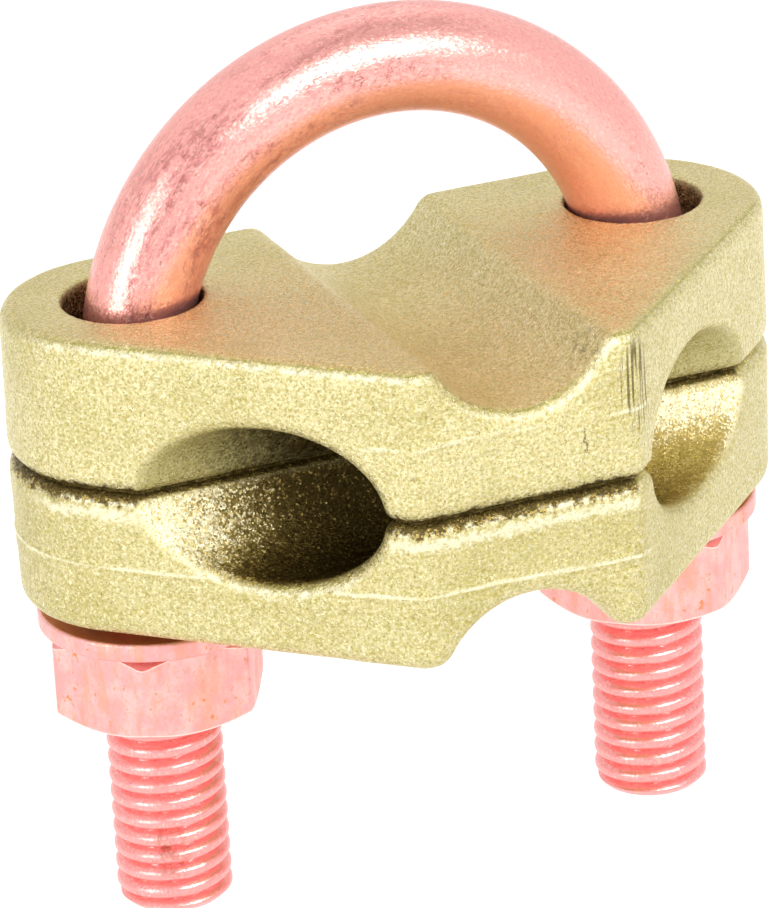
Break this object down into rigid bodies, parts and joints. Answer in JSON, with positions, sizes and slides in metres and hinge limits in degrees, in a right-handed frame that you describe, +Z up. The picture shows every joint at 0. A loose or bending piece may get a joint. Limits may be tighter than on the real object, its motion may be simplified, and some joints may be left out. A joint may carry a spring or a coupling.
{
  "type": "earth rod clamp",
  "caption": "U-bolt clamp with two grooved castings that grips an earth rod under the bow and a conductor between the castings.",
  "frame": {"origin": "on the earth rod's axis, where it crosses the plane of the U-bolt", "axes": "+Y along the earth rod away from the castings' nose, +Z up through the bow, +X from the left leg to the right leg along the conductor"},
  "size_m": [0.0652, 0.0378, 0.0727],
  "materials": {
    "copper_bar": "satin drawn copper",
    "gunmetal": "sand-cast gunmetal with a fine bright grain",
    "copper_fastener": "satin machined copper alloy"
  },
  "bodies": {
    "u_bolt": {"u_bolt": "copper_bar"},
    "upper_casting": {"upper_casting": "gunmetal"},
    "lower_casting": {"lower_casting": "gunmetal"},
    "left_washer": {"left_washer": "copper_fastener"},
    "right_washer": {"right_washer": "copper_fastener"},
    "left_nut": {"left_nut": "copper_fastener"},
    "right_nut": {"right_nut": "copper_fastener"}
  },
  "joints": [
    {"name": "lower_casting_slide", "type": "slide", "parent": "u_bolt", "child": "lower_casting", "axis": [0, 0, -1], "range_m": [0, 0.01588]},
    {"name": "upper_casting_slide", "type": "slide", "parent": "u_bolt", "child": "upper_casting", "axis": [0, 0, -1], "range_m": [0, 0.00794]},
    {"name": "left_washer_slide", "type": "slide", "parent": "u_bolt", "child": "left_washer", "axis": [0, 0, -1], "range_m": [0, 0.01588]},
    {"name": "right_washer_slide", "type": "slide", "parent": "u_bolt", "child": "right_washer", "axis": [0, 0, -1], "range_m": [0, 0.01588]},
    {"name": "left_nut_spin", "type": "hinge", "parent": "left_washer", "child": "left_nut", "pos_m": [-0.02185, 0, -0.03474], "axis": [0, 0, -1], "range_deg": [0, 3600]},
    {"name": "right_nut_spin", "type": "hinge", "parent": "right_washer", "child": "right_nut", "pos_m": [0.02185, 0, -0.03474], "axis": [0, 0, -1], "range_deg": [0, 3600]}
  ],
  "couplings": [
    {"joint": "left_washer_slide", "follows": "lower_casting_slide", "ratio": 1},
    {"joint": "right_washer_slide", "follows": "lower_casting_slide", "ratio": 1},
    {"joint": "left_nut_spin", "follows": "lower_casting_slide", "rad_per_m": 3957.9},
    {"joint": "right_nut_spin", "follows": "lower_casting_slide", "rad_per_m": 3957.9},
    {"joint": "upper_casting_slide", "follows": "lower_casting_slide", "ratio": 0.5}
  ]
}
